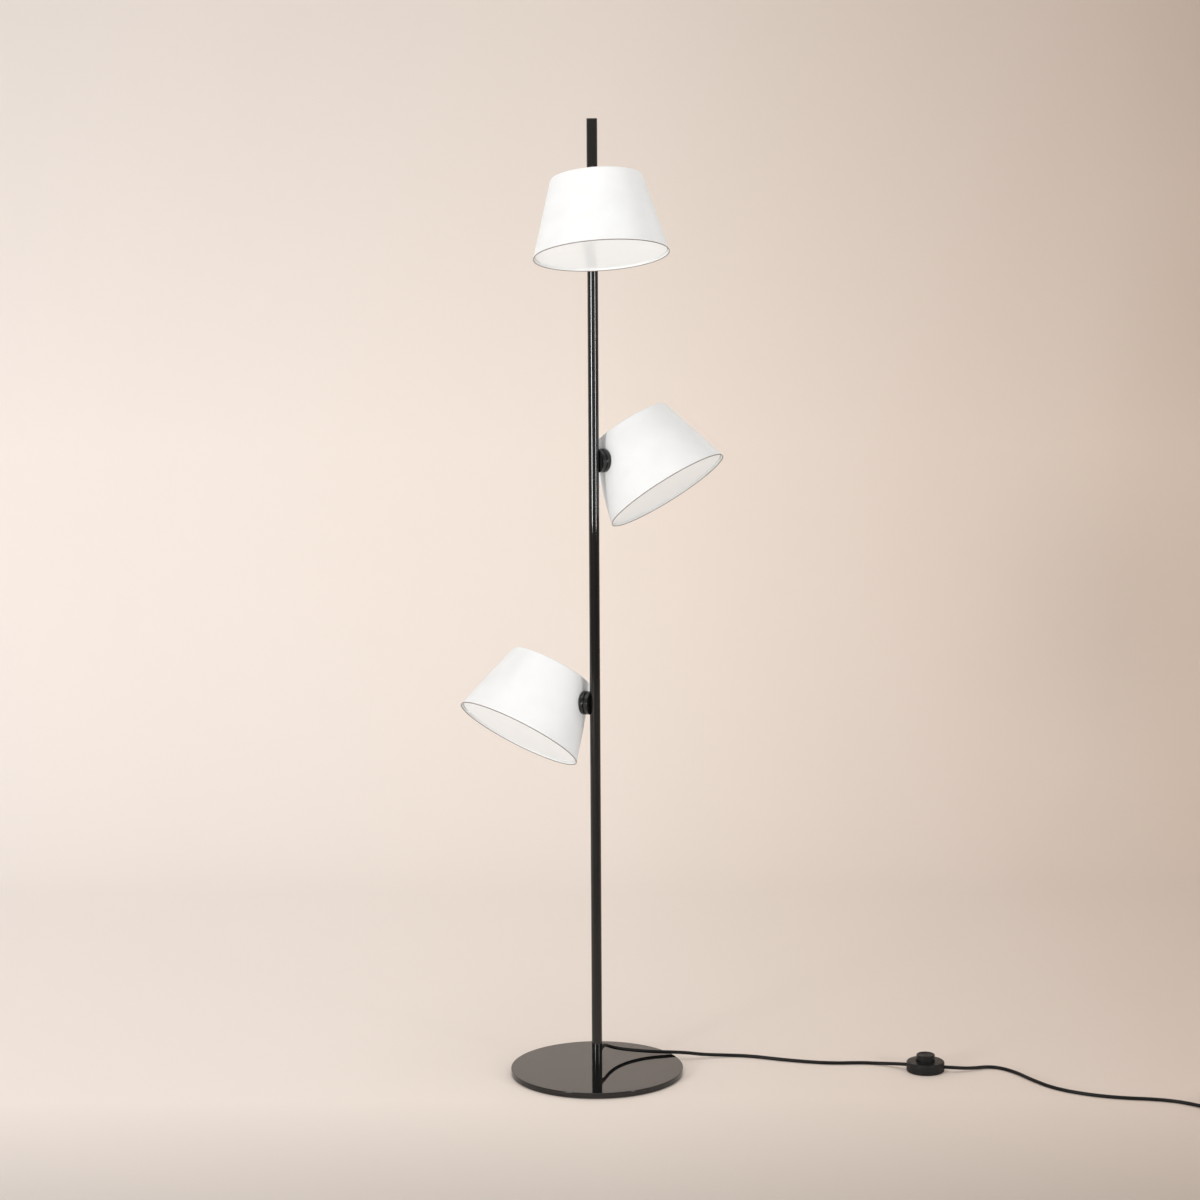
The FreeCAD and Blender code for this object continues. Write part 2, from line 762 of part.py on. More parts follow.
def switch_point(along, height):
    """A point on the line of the cord through the switch."""
    return (V(switch_centre_x, switch_centre_y, height)
            + ground_direction(switch_heading) * along)


def switch_parts():
    """Two shells, a sprung button, the terminals inside, and two screws."""
    inner_diameter = switch_diameter - 2 * switch_wall
    ceiling = switch_height - switch_top_thickness
    hole_diameter = button_diameter + 2 * button_hole_gap
    boss_places = [V(0, switch_screw_offset, 0), V(0, -switch_screw_offset, 0)]

    base = cylinder(inner_diameter - 2 * running_clearance, 0, switch_base_thickness)
    cover = cylinder(switch_diameter, switch_skirt_gap, switch_height)
    cover = cover.makeFillet(switch_edge_round, circles_at(cover, switch_diameter, switch_height))
    cover = cover.cut(cylinder(inner_diameter, switch_skirt_gap, ceiling))
    cover = cover.cut(cylinder(hole_diameter, ceiling, switch_height))
    cord_way = Part.makeCylinder(cord_diameter / 2 + screw_clearance, 2 * switch_diameter,
                                 V(-switch_diameter, 0, switch_cord_height), X_AXIS)
    cover = cover.cut(cord_way)
    screws = []
    for place in boss_places:
        boss = cylinder(switch_boss_diameter, switch_base_thickness, ceiling).translated(place)
        pilot = cylinder(switch_screw_diameter, 0, switch_screw_length).translated(place)
        head_top = switch_screw_head_height * 2
        recess = cylinder(switch_screw_head_diameter + 2 * screw_clearance, 0,
                          switch_screw_head_height).translated(place)
        clearance = cylinder(switch_screw_diameter + 2 * screw_clearance, 0, head_top).translated(place)
        cover = cover.fuse(boss.cut(pilot))
        base = base.cut(recess).cut(clearance)
        head = cylinder(switch_screw_head_diameter, switch_screw_head_height / 4,
                        switch_screw_head_height).translated(place)
        shank = cylinder(switch_screw_diameter, switch_screw_head_height,
                         switch_screw_length).translated(place)
        screws.append(at_switch(head.fuse(shank)))
    cover = cover.removeSplitter()

    flange_top = ceiling - button_flange_play
    flange_low = flange_top - button_flange_thickness
    flange_diameter = hole_diameter + 2 * button_flange_width
    button = cylinder(button_diameter, flange_low, button_top_height)
    rim = circles_at(button, button_diameter, button_top_height)
    button = button.makeFillet(button_edge_round, rim)
    dish_radius = button_diameter / 2 - button_rim_width
    button = button.cut(turned([
        (0, button_top_height - button_dish_depth),
        (dish_radius - button_dish_depth, button_top_height - button_dish_depth),
        (dish_radius, button_top_height), (0, button_top_height),
    ]))
    button = button.fuse(cylinder(flange_diameter, flange_low, flange_top))
    bore_top = flange_low + button_bore_depth
    button = button.cut(cylinder(button_bore_diameter, flange_low, bore_top)).removeSplitter()

    terminal_top = switch_base_thickness + terminal_plate_height
    terminals = cylinder(terminal_plate_diameter, switch_base_thickness, terminal_top)
    bar = Part.makeBox(2 * terminal_post_reach, terminal_post_width, terminal_plate_height / 2,
                       V(-terminal_post_reach, -terminal_post_width / 2, switch_base_thickness))
    terminals = terminals.fuse(bar)
    for side in (-terminal_post_reach, terminal_post_reach - terminal_post_thickness):
        corner = V(side, -terminal_post_width / 2, switch_base_thickness)
        post = Part.makeBox(terminal_post_thickness, terminal_post_width, terminal_post_height, corner)
        terminals = terminals.fuse(post)
    terminals = terminals.removeSplitter()

    spring_low = terminal_top + spring_wire_diameter / 2
    spring_high = bore_top - spring_wire_diameter / 2
    spring_rise = (spring_high - spring_low) / (2 * math.pi * spring_turns)

    def spring_place(angle):
        point = ground_direction(math.degrees(angle)) * (spring_diameter / 2)
        point.z = spring_low + spring_rise * angle
        direction = V(-math.sin(angle) * spring_diameter / 2, math.cos(angle) * spring_diameter / 2,
                      spring_rise)
        return point, direction.normalize()

    spring_path = wound_path(spring_place, spring_turns * 4, 0)
    spring = tube(spring_path, spring_wire_diameter, "switch_spring")
    return {
        "switch_base": at_switch(base),
        "switch_cover": at_switch(cover),
        "switch_button": at_switch(button),
        "switch_spring": at_switch(spring),
        "switch_terminals": at_switch(terminals),
        "switch_screws": Part.makeCompound(screws),
    }


# ---------------------------------------------------------------- cord, coil and plug
cord_low = cord_diameter / 2 + cord_floor_gap
coil_low = cord_diameter / 2 + coil_lift
least_bend = 5 * cord_diameter


def coil_place(angle):
    """Point and direction of the coil at an angle wound since its entry, in radians.

    It spirals in on the lower layer, climbs while the spiral reverses through half a turn,
    and spirals out again on the upper layer.
    """
    layer_angle = coil_quarters_per_layer * math.pi / 2
    rate = coil_step / (2 * math.pi)
    inner_radius = coil_outer_radius - rate * layer_angle
    height, climb = coil_low, 0.0
    if angle <= layer_angle:
        radius, growth = coil_outer_radius - rate * angle, -rate
    elif angle < layer_angle + math.pi:
        part = (angle - layer_angle) / math.pi
        radius = inner_radius - rate * math.pi * part * (1 - part)
        growth = -rate * (1 - 2 * part)
        height += coil_step * part ** 2 * (3 - 2 * part)
        climb = coil_step * 6 * part * (1 - part) / math.pi
    else:
        radius, growth = inner_radius + rate * (angle - layer_angle - math.pi), rate
        height += coil_step
    bearing = math.radians(coil_heading - 90) + angle
    outward = V(math.cos(bearing), math.sin(bearing), 0)
    onward = V(-math.sin(bearing), math.cos(bearing), 0)
    point = coil_centre() + outward * radius + V(0, 0, height)
    return point, (outward * growth + onward * radius + V(0, 0, climb)).normalize()


def coil_centre():
    return V(coil_entry_x, coil_entry_y, 0) - ground_direction(coil_heading - 90) * coil_outer_radius


def coil_and_tie():
    """The spare cord, wound flat in two layers, and the band round its turns."""
    quarters = coil_layers * coil_quarters_per_layer + 2
    path = wound_path(coil_place, quarters, cord_diameter)
    least_gap(path, cord_diameter, "cord_coil")
    coil = tube(path, cord_diameter, "cord_coil")

    inner_turn = coil_outer_radius - coil_step * coil_quarters_per_layer / 4
    bow = inner_turn - math.sqrt(inner_turn ** 2 - tie_width ** 2 / 4) + coil_step / 8
    low_side = inner_turn - cord_diameter / 2 - bow - tie_gap
    high_side = coil_outer_radius + cord_diameter / 2 + tie_gap
    height = cord_diameter + coil_step + 2 * tie_gap
    bottom = coil_lift - tie_gap
    window = Part.makeBox(high_side - low_side, tie_width, height, V(low_side, -tie_width / 2, bottom))
    band = Part.makeBox(high_side - low_side + 2 * tie_thickness, tie_width,
                        height + 2 * tie_thickness,
                        V(low_side - tie_thickness, -tie_width / 2, bottom - tie_thickness))
    tie = band.cut(window).rotated(ORIGIN, Z_AXIS, tie_angle).translated(coil_centre())
    return {"cord_coil": coil, "coil_tie": tie}, path


def cords_and_plug():
    """The free stretches of cord, the coil between them, and the plug."""
    out_of_gland = ground_direction(gland_azimuth)
    gland_exit = out_of_gland * gland_tip() + V(0, 0, gland_height)
    terminal = terminal_post_reach
    to_switch = [
        gland_exit,
        gland_exit + out_of_gland * 7,
        V(22, 37, 40.3),
        V(37, 47, 34),
        V(66, 58, 24),
        V(104, 67, 18.5),
        V(142, 76, 17),
        V(184, 86, 9),
        V(228, 91, cord_low),
        V(272, 81, cord_low),
        V(318, 62, cord_low),
        V(366, 46, cord_low),
        V(416, 36, cord_low),
        V(464, 39, cord_low),
        V(500, 33, cord_low),
        switch_point(-terminal - 20, switch_cord_height),
        switch_point(-terminal, switch_cord_height),
    ]

    coil_pieces, coil_path = coil_and_tie()
    coil_start = coil_path.Vertexes[0].Point
    into_coil = (coil_path.Vertexes[1].Point - coil_start).normalize()
    to_coil = [
        switch_point(terminal, switch_cord_height),
        switch_point(terminal + 22, switch_cord_height),
        V(652, -3, 4.5),
        V(692, 14, cord_low),
        V(726, -17, cord_low),
        V(750, -65, cord_low),
        V(782, -113, cord_low),
        V(830, -146, cord_low),
        V(886, -166, cord_low),
        V(942, -174, cord_low),
        V(984, -189, cord_low),
        coil_start - into_coil * 36,
        coil_start,
    ]

    coil_end = coil_path.Vertexes[-1].Point
    out_of_coil = (coil_end - coil_path.Vertexes[-2].Point).normalize()
    plug_axis_height = plug_thickness / 2 + cord_floor_gap
    plug_heading = coil_heading + 57
    plug_tip = coil_centre() + V(62, -60, plug_axis_height)
    plug_direction = ground_direction(plug_heading)
    tail = [
        coil_end,
        coil_end + out_of_coil * 14,
        coil_centre() + V(8, -60, coil_low + coil_step * 0.8),
        coil_centre() + V(28, -65, plug_axis_height + 0.6),
        plug_tip - plug_direction * 14,
        plug_tip,
    ]

    parts = dict(coil_pieces)
    for name, points in (("cord_to_switch", to_switch), ("cord_to_coil", to_coil), ("cord_tail", tail)):
        parts[name] = tube(fillet_route(points, name, least_bend), cord_diameter, name)
    parts.update(plug_parts(plug_tip, plug_heading))
    return parts


def plug_parts(tip, heading):
    """Flat two pin plug: relief cone, body and pins, laid on the floor."""
    relief = along_hub(turned([
        (0, 0), (plug_relief_tip_diameter / 2, 0),
        (plug_relief_root_diameter / 2, plug_relief_length), (0, plug_relief_length),
    ]))
    body = Part.makeBox(plug_length, plug_width, plug_thickness,
                        V(plug_relief_length, -plug_width / 2, -plug_thickness / 2))
    upright = [edge for edge in body.Edges if abs(edge.tangentAt(0).z) > 0.99]
    body = body.makeFillet(plug_corner_round, upright)
    level = [edge for edge in body.Edges
             if edge.BoundBox.ZLength < 1e-6 and abs(abs(edge.BoundBox.ZMin) - plug_thickness / 2) < 1e-6]
    body = body.makeFillet(plug_edge_round, level)
    face = plug_relief_length + plug_length
    pins = []
    for side in (-pin_spacing / 2, pin_spacing / 2):
        pin = Part.makeCylinder(pin_diameter / 2, pin_length + pin_root_length,
                                V(face - pin_root_length, side, 0), X_AXIS)
        end = [edge for edge in pin.Edges
               if isinstance(edge.Curve, Part.Circle) and edge.Curve.Center.x > face]
        pin = pin.makeFillet(pin_diameter / 4, end)
        body = body.cut(pin)
        pins.append(pin)
    shapes = {"plug_body": body.fuse(relief).removeSplitter(), "plug_pins": Part.makeCompound(pins)}
    return {
        name: shape.rotated(ORIGIN, Z_AXIS, heading).translated(tip)
        for name, shape in shapes.items()
    }


# ---------------------------------------------------------------- write every piece
def all_parts():
    parts = base_parts()
    parts.update(pole_parts())
    parts["pole_wiring"] = wiring()
    parts["cord_gland"] = cord_gland()
    parts.update(head_parts())
    parts.update(switch_parts())
    parts.update(cords_and_plug())
    return parts


for node, shape in all_parts().items():
    print("%-26s solids %d valid %s volume %.0f" % (node, len(shape.Solids), shape.isValid(), shape.Volume))
    shape.exportStep("parts/" + node + ".step")
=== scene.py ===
# %% [markdown]
# # A standing lamp with three swivelling shades
# The lamp is a heavy black disc, a slim black pole, and three white conical shades that
# turn on round hubs. Its measured pieces are already in the frame, one object for each.
# This lesson lays the cord, models the pieces that need a finer surface than the frame's,
# mixes a finish for every material, and sets the lamp in a plain studio.

# %% Open the frame
import math

import bpy
from mathutils import Matrix, Vector


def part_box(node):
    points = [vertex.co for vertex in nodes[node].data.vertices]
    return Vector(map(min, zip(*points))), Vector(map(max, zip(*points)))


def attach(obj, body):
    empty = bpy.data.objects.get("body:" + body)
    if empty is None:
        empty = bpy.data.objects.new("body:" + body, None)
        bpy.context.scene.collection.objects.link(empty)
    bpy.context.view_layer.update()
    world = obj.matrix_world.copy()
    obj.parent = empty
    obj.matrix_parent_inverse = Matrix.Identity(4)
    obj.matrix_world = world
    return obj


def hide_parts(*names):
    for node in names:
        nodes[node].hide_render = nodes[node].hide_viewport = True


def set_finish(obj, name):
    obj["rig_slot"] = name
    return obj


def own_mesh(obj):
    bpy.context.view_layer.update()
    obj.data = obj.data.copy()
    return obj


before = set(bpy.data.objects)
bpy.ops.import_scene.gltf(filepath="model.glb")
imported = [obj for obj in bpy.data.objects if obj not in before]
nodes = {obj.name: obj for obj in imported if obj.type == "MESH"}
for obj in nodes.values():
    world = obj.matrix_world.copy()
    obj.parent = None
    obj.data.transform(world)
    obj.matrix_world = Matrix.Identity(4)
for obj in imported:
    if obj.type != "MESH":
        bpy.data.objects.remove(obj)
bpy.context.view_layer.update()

print("pieces in the frame:", len(nodes))

# %% [markdown]
# Everything is written in millimetres, as on a drawing, and brought to metres by one
# factor. A few small helpers keep the work tidy. The first two put every piece down before
# the next is picked up, because an operator works on all that is selected. The third
# applies a piece's place to its mesh, so that its object stays at the origin.

# %% Units and habits
mm = 0.001


def put_down():
    """Leaves edit mode and selects nothing."""
    if bpy.context.object and bpy.context.object.mode != "OBJECT":
        bpy.ops.object.mode_set(mode="OBJECT")
    bpy.ops.object.select_all(action="DESELECT")


def pick_up(piece):
    """Selects one piece alone and makes it the active one."""
    put_down()
    piece.select_set(True)
    bpy.context.view_layer.objects.active = piece


def set_in_place(piece, matrix):
    """Moves a piece's mesh to where the matrix says and leaves its object at the origin."""
    pick_up(piece)
    piece.matrix_world = matrix
    bpy.ops.object.transform_apply(location=True, rotation=True, scale=True)


def level_direction(angle):
    """The level unit vector at an angle from +X, in radians."""
    return Vector((math.cos(angle), math.sin(angle), 0.0))


# %% [markdown]
# ## The camera
# The photograph was taken from about five metres away and a little below the top of the
# lamp, with a long lens. The camera looks slightly down, and the whole picture leans by a
# third of a degree. Three matrices say this in turn: the place, the pitch, and last the
# small roll about the camera's own axis.

# %% Camera
camera_data = bpy.data.cameras.new("camera")
camera_data.sensor_width = 36.0
camera_data.lens = 90.81
camera_data.shift_y = 0.0013
camera = bpy.data.objects.new("camera", camera_data)
bpy.context.scene.collection.objects.link(camera)
camera_place = Matrix.Translation((0.0094, -5.098, 1.6163))
pitch = Matrix.Rotation(math.radians(90 - 8.75), 4, "X")
roll = Matrix.Rotation(math.radians(-0.31), 4, "Z")
camera.matrix_world = camera_place @ pitch @ roll
bpy.context.scene.camera = camera
print("camera stands", round(-camera.location.y, 2), "m in front of the pole")

# %% [markdown]
# ## The cord
# A mains cord is a long flexible tube that lies under its own weight. A curve is the right
# tool: a few control points give a smooth line, and the curve's bevel gives the round
# section. The bevel's depth is one metre, and every control point's radius brings that
# down to the cord's own, so that the curve's box is the cord's box. The spline gets its
# order after its points, since before that it would fall back to straight runs. The first
# stretch leaves the back of the pole, comes down over the disc's edge and reaches the foot
# switch.

# %% A helper that lays a cord
cord_diameter = 6 * mm
floor_height = 3.1              # of the cord's middle, where it lies on the floor
switch_centre = (573.0, 0.0)
switch_heading = math.radians(-15)


def lay_cord(name, route):
    """A round cord along a smooth spline, with the route's points as its control points."""
    curve = bpy.data.curves.new(name, "CURVE")
    curve.dimensions = "3D"
    curve.resolution_u = 8
    curve.bevel_depth = 1.0
    curve.bevel_resolution = 6
    curve.use_fill_caps = True
    spline = curve.splines.new("NURBS")
    spline.points.add(len(route) - 1)
    for point, place in zip(spline.points, route):
        point.co = (place[0] * mm, place[1] * mm, place[2] * mm, 1.0)
        point.radius = cord_diameter / 2
    spline.order_u = 3
    spline.use_endpoint_u = True
    piece = bpy.data.objects.new(name, curve)
    bpy.context.scene.collection.objects.link(piece)
    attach(piece, "stand")
    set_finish(piece, "cord_black")
    return piece


def switch_point(along, height):
    """A point on the line of the cord through the foot switch."""
    x, y = switch_centre
    return (x + math.cos(switch_heading) * along, y + math.sin(switch_heading) * along, height)


# %% The stretch from the pole to the foot switch
switch_route = [
    (11.97, 22.52, 42), (14.2, 26.7, 41.6), (18.5, 36, 37.5), (33, 49, 28.8), (60, 61, 21.4),
    (96, 67.5, 16.4), (128, 69, 14.9), (158, 74, 12), (190, 79, 6.6), (228, 87, floor_height),
    (272, 81, floor_height), (318, 62, floor_height), (366, 46, floor_height),
    (416, 36, floor_height), (464, 39, floor_height), (500, 33, floor_height),
    switch_point(-44, 9), switch_point(-24, 9),
]
lead_to_switch = lay_cord("lead_to_switch", switch_route)
print("points in the first stretch:", len(switch_route))

# %% [markdown]
# The second stretch leaves the foot switch and runs out of the picture, where the spare
# cord is wound into a tied coil. The coil is not pasted in point by point. A loop walks
# round it: the lower layer spirals in, the cord climbs while the spiral turns back, and
# the upper layer spirals out. The control points stand on a circle a little larger than
# the turn, because the spline touches the middle of each side of its control polygon.

# %% The stretch with the coil
coil_entry = Vector((1052.0, -249.0, 0.0))
coil_heading = math.radians(-42)
coil_outer_radius = 44.5
coil_pitch = 6.6
coil_low = 4.2
layer_angle = 5.5 * math.pi
whole_angle = 2 * layer_angle + math.pi
points_per_turn = 16
coil_centre = coil_entry - level_direction(coil_heading - math.pi / 2) * coil_outer_radius


def coil_place(angle, widen=1.0):
    """Where the wound cord's middle is at an angle, counted from where it enters the coil."""
    rate = coil_pitch / (2 * math.pi)
    inner_radius = coil_outer_radius - rate * layer_angle
    height = coil_low
    if angle <= layer_angle:
        radius = coil_outer_radius - rate * angle
    elif angle < layer_angle + math.pi:
        part = (angle - layer_angle) / math.pi
        radius = inner_radius - rate * math.pi * part * (1 - part)
        height += coil_pitch * part ** 2 * (3 - 2 * part)
    else:
        radius = inner_radius + rate * (angle - layer_angle - math.pi)
        height += coil_pitch
    outward = level_direction(coil_heading - math.pi / 2 + angle)
    return coil_centre + outward * radius * widen + Vector((0.0, 0.0, height))


def coil_direction(angle):
    """The way the wound cord runs at an angle."""
    nearby = 0.001
    return (coil_place(angle + nearby) - coil_place(angle - nearby)).normalized()


just_inside = 0.002             # radians from either end of the coil
straight_end = 6                # of cord at either end of the coil
run_in, run_out = 36, 14        # how far the next point is, before and after the coil
plug_lead = 14                  # the cord's last straight run into the plug
into_coil = coil_direction(just_inside)
out_of_coil = coil_direction(whole_angle - just_inside)
coil_start = coil_place(0.0) - into_coil * straight_end
coil_end = coil_place(whole_angle) + out_of_coil * straight_end
step = 2 * math.pi / points_per_turn
turns_route = [
    coil_place((index + 0.5) * step, 1 / math.cos(step / 2))
    for index in range(round(whole_angle / step))
]
plug_tip = coil_centre + Vector((62.0, -60.0, 7.1))
plug_direction = level_direction(coil_heading + math.radians(57))
plug_route = [
    switch_point(24, 9), switch_point(46, 9), (652, -3, 4.5), (692, 14, floor_height),
    (726, -17, floor_height), (750, -65, floor_height), (782, -113, floor_height),
    (830, -146, floor_height), (886, -166, floor_height), (942, -174, floor_height),
    (984, -189, floor_height), coil_start - into_coil * run_in, coil_start,
    *turns_route,
    coil_end, coil_end + out_of_coil * run_out, coil_centre + Vector((8.0, -60.0, 9.48)),
    coil_centre + Vector((28.0, -65.0, 7.7)), plug_tip - plug_direction * plug_lead, plug_tip,
]
lead_to_plug = lay_cord("lead_to_plug", plug_route)
print("points in the second stretch:", len(plug_route))

# %% [markdown]
# ## Turned pieces
# Almost every piece of this lamp is round. Such a piece is drawn as half of its section
# and turned. Here it is turned up ring by ring: a circle is the first ring, and each
# further station of the section is one more extrusion, scaled about the axis. The section
# either closes on itself, as a tube does, or ends in a flat cap.

# %% Helpers that turn a section and soften its edges
smooth_below = math.radians(35)     # sharper edges than this stay sharp in the shading
ring_tolerance = 0.002 * mm


def select_ring(piece, radius, height):
    """Selects the ring of points at one radius and height, in edit mode."""
    bpy.ops.mesh.select_all(action="DESELECT")
    bpy.ops.object.mode_set(mode="OBJECT")
    for vertex in piece.data.vertices:
        x, y, z = vertex.co
        off = max(abs(math.hypot(x, y) - radius * mm), abs(z - height * mm))
        vertex.select = off < ring_tolerance
    bpy.ops.object.mode_set(mode="EDIT")


def turn_section(name, stations, closed=False, open_start=False, segments=144):
    """Turns a section given as (radius, height) stations about the upright axis."""
    put_down()
    radius, height = stations[0]
    bpy.ops.mesh.primitive_circle_add(vertices=segments, radius=radius * mm, location=(0, 0, height * mm))
    piece = bpy.context.object
    piece.name = name
    bpy.ops.object.transform_apply(location=True, rotation=True, scale=True)
    bpy.ops.object.mode_set(mode="EDIT")
    bpy.ops.mesh.select_mode(type="VERT")
    bpy.ops.mesh.select_all(action="SELECT")
    for next_radius, next_height in list(stations[1:]) + ([stations[0]] if closed else []):
        bpy.ops.mesh.extrude_region_move(
            TRANSFORM_OT_translate={"value": (0, 0, (next_height - height) * mm)})
        growth = next_radius / radius
        bpy.ops.transform.resize(value=(growth, growth, 1), center_override=(0, 0, 0))
        radius, height = next_radius, next_height
    if not closed:
        bpy.ops.mesh.edge_face_add()
        if not open_start:
            select_ring(piece, *stations[0])
            bpy.ops.mesh.edge_face_add()
    bpy.ops.mesh.select_all(action="SELECT")
    bpy.ops.mesh.remove_doubles(threshold=1e-6)
    bpy.ops.mesh.normals_make_consistent(inside=False)
    bpy.ops.object.mode_set(mode="OBJECT")
    return piece


def soften_edges(piece, width, segments=3, angle=30):
    """Rounds the sharp edges with a bevel, smooths the shading, and keeps the large flats flat."""
    pick_up(piece)
    bevel = piece.modifiers.new("bevel", "BEVEL")
    bevel.width = width * mm
    bevel.segments = segments
    bevel.limit_method = "ANGLE"
    bevel.angle_limit = math.radians(angle)
    bpy.ops.object.modifier_apply(modifier=bevel.name)
    bpy.ops.object.shade_smooth_by_angle(angle=smooth_below)
    flats = piece.modifiers.new("flats", "WEIGHTED_NORMAL")
    flats.keep_sharp = True
    flats.weight = 80
    bpy.ops.object.modifier_apply(modifier=flats.name)


# %% [markdown]
# ## The disc on the floor
# The foot is a ten millimetre steel plate with a softly rounded edge, so glossy that it
# mirrors the pole. Its underside has a round pocket for the bolt. The section closes on
# itself round the bolt's hole, and many segments keep the rim a true circle.

# %% Base disc
plate_low, plate_top = 1.0, 11.0
base_disc = turn_section(
    "base_disc",
    [(5.2, 7.6), (5.2, plate_top), (60, plate_top), (120, plate_top), (148.8, plate_top),
     (149.4, 10.84), (149.84, 10.4), (150, 9.8), (150, 1.6), (149.4, plate_low),
     (60, plate_low), (11.5, plate_low), (11.5, 7.6)],
    closed=True, segments=256)
soften_edges(base_disc, 0.15, segments=2)
print("base disc points:", len(base_disc.data.vertices))

# %% [markdown]
# ## The pole and its cap
# The pole is a plain tube. Seen from five metres its two long highlights are what makes it
# read as lacquered metal, so its section gets plenty of segments. The cap is a thin disc
# with a rounded rim and a spigot that sits in the tube.

# %% Pole and cap
pole_low, pole_high, lamp_height = 11.0, 1642.5, 1645.0
pole = turn_section(
    "pole", [(7.5, pole_low), (9, pole_low), (9, 400), (9, 900), (9, pole_high), (7.5, pole_high)],
    closed=True, segments=96)
soften_edges(pole, 0.12, segments=2)
pole_cap = turn_section(
    "pole_cap", [(7.4, 1630.5), (7.45, 1631), (7.45, pole_high), (9, pole_high), (9, lamp_height)],
    segments=96)
soften_edges(pole_cap, 0.45, segments=3)

# %% [markdown]
# ## Where a shade stands
# Every shade is the same piece in three places. It is modelled once on its own axis, with
# the mouth at the bottom. It leans by half its cone's angle, which brings its wall parallel
# to the pole. Then it is turned about its hub and carried to its side of the pole. A copy
# gets a mesh of its own.

# %% Places of the three heads
mouth_radius, shade_top_radius, shade_height = 112.0, 76.0, 130.0
shade_wall = 1.2
hub_station = 93.0              # from the mouth to the hub, along the cone's axis
shade_face = 21.5               # from the pole's axis to the shade's wall
cone_angle = math.atan((mouth_radius - shade_top_radius) / shade_height)
heads = {
    "low": {"height": 655.0, "azimuth": 155.5, "turn": 31.5},
    "middle": {"height": 1072.0, "azimuth": 35.5, "turn": -32.5},
    "top": {"height": 1489.0, "azimuth": -84.5, "turn": 2.0},
}


def cone_radius(station):
    """Outer radius of the shade at a distance from its mouth."""
    return mouth_radius - math.tan(cone_angle) * station


def shade_matrix(head):
    """From the shade's own axis to its place on the lamp."""
    place = heads[head]
    hub_radius = cone_radius(hub_station)
    foot = Vector((
        shade_face + hub_radius * math.cos(cone_angle) + hub_station * math.sin(cone_angle), 0,
        hub_radius * math.sin(cone_angle) - hub_station * math.cos(cone_angle))) * mm
    lean = Matrix.Translation(foot) @ Matrix.Rotation(-cone_angle, 4, "Y")
    turn = Matrix.Rotation(math.radians(place["turn"]), 4, "X")
    side = Matrix.Rotation(math.radians(place["azimuth"]), 4, "Z")
    return Matrix.Translation((0, 0, place["height"] * mm)) @ side @ turn @ lean


def copies_on_heads(pattern, node):
    """One copy of a pattern piece on each head, in place of the node of that head."""
    made = []
    for head in heads:
        copy = pattern.copy()
        copy.data = pattern.data.copy()
        copy.name = head + "_" + pattern.name
        bpy.context.scene.collection.objects.link(copy)
        set_in_place(copy, shade_matrix(head))
        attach(copy, head + "_head")
        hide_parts(head + "_" + node)
        made.append(copy)
    put_down()
    bpy.data.objects.remove(pattern)
    return made


# %% [markdown]
# ## The shade
# The shade is spun from one sheet of metal and powder coated. It is turned as an open cup
# of a single skin, its top edge is rounded, and Solidify gives the skin its thickness
# towards the inside. The rim at the mouth is then softened. Its faces keep a second
# material, since the photograph shows the rim as a fine brown line.

# %% Shades
rim_height = 1.2                # faces this close to the mouth get the dark brown rim line
shade_pattern = turn_section(
    "shade_cone",
    [(mouth_radius, 0), (cone_radius(rim_height), rim_height), (cone_radius(6), 6), (cone_radius(65), 65),
     (shade_top_radius, shade_height), (40, shade_height), (12, shade_height)],
    open_start=True, segments=192)
pick_up(shade_pattern)
bpy.ops.object.mode_set(mode="EDIT")
bpy.ops.mesh.select_mode(type="VERT")
select_ring(shade_pattern, shade_top_radius, shade_height)
top_rounding = 2.2
bpy.ops.mesh.bevel(offset=top_rounding * mm, segments=5, affect="EDGES")
bpy.ops.mesh.select_all(action="SELECT")
bpy.ops.mesh.normals_make_consistent(inside=False)
bpy.ops.object.mode_set(mode="OBJECT")
sheet_metal = shade_pattern.modifiers.new("thickness", "SOLIDIFY")
sheet_metal.thickness = shade_wall * mm
sheet_metal.offset = -1
sheet_metal.use_even_offset = True
bpy.ops.object.modifier_apply(modifier=sheet_metal.name)
soften_edges(shade_pattern, 0.35, segments=3, angle=50)
# Faces within rim_height of the mouth get the second, dark brown material.
for face in shade_pattern.data.polygons:
    face.material_index = 1 if face.center.z < rim_height * mm else 0
print("shade points:", len(shade_pattern.data.vertices))
shades = copies_on_heads(shade_pattern, "shade")

# %% [markdown]
# ## The diffuser
# An opal disc closes the mouth a few millimetres in. It is clipped, not glued, so a thin
# gap runs round it. Its outer edge is tapered like the wall beside it and rounded.

# %% Diffusers
diffuser_gap = 1.5
inset = (shade_wall + diffuser_gap) / math.cos(cone_angle)
diffuser_pattern = turn_section(
    "opal_disc", [(cone_radius(station) - inset, station) for station in (4.0, 7.0)], segments=192)
soften_edges(diffuser_pattern, 0.5)
diffusers = copies_on_heads(diffuser_pattern, "diffuser")

# %% [markdown]
# ## The foot switch
# The switch is a round shell with a large button that stands proud of it. The shell is
# thin, so its section goes up the outside, in over the top and down again inside. A fine
# groove near the bottom shows where the shell meets its base. The button has a raised rim
# round a shallow dish, with two fine rings that give the sole of a shoe some grip.

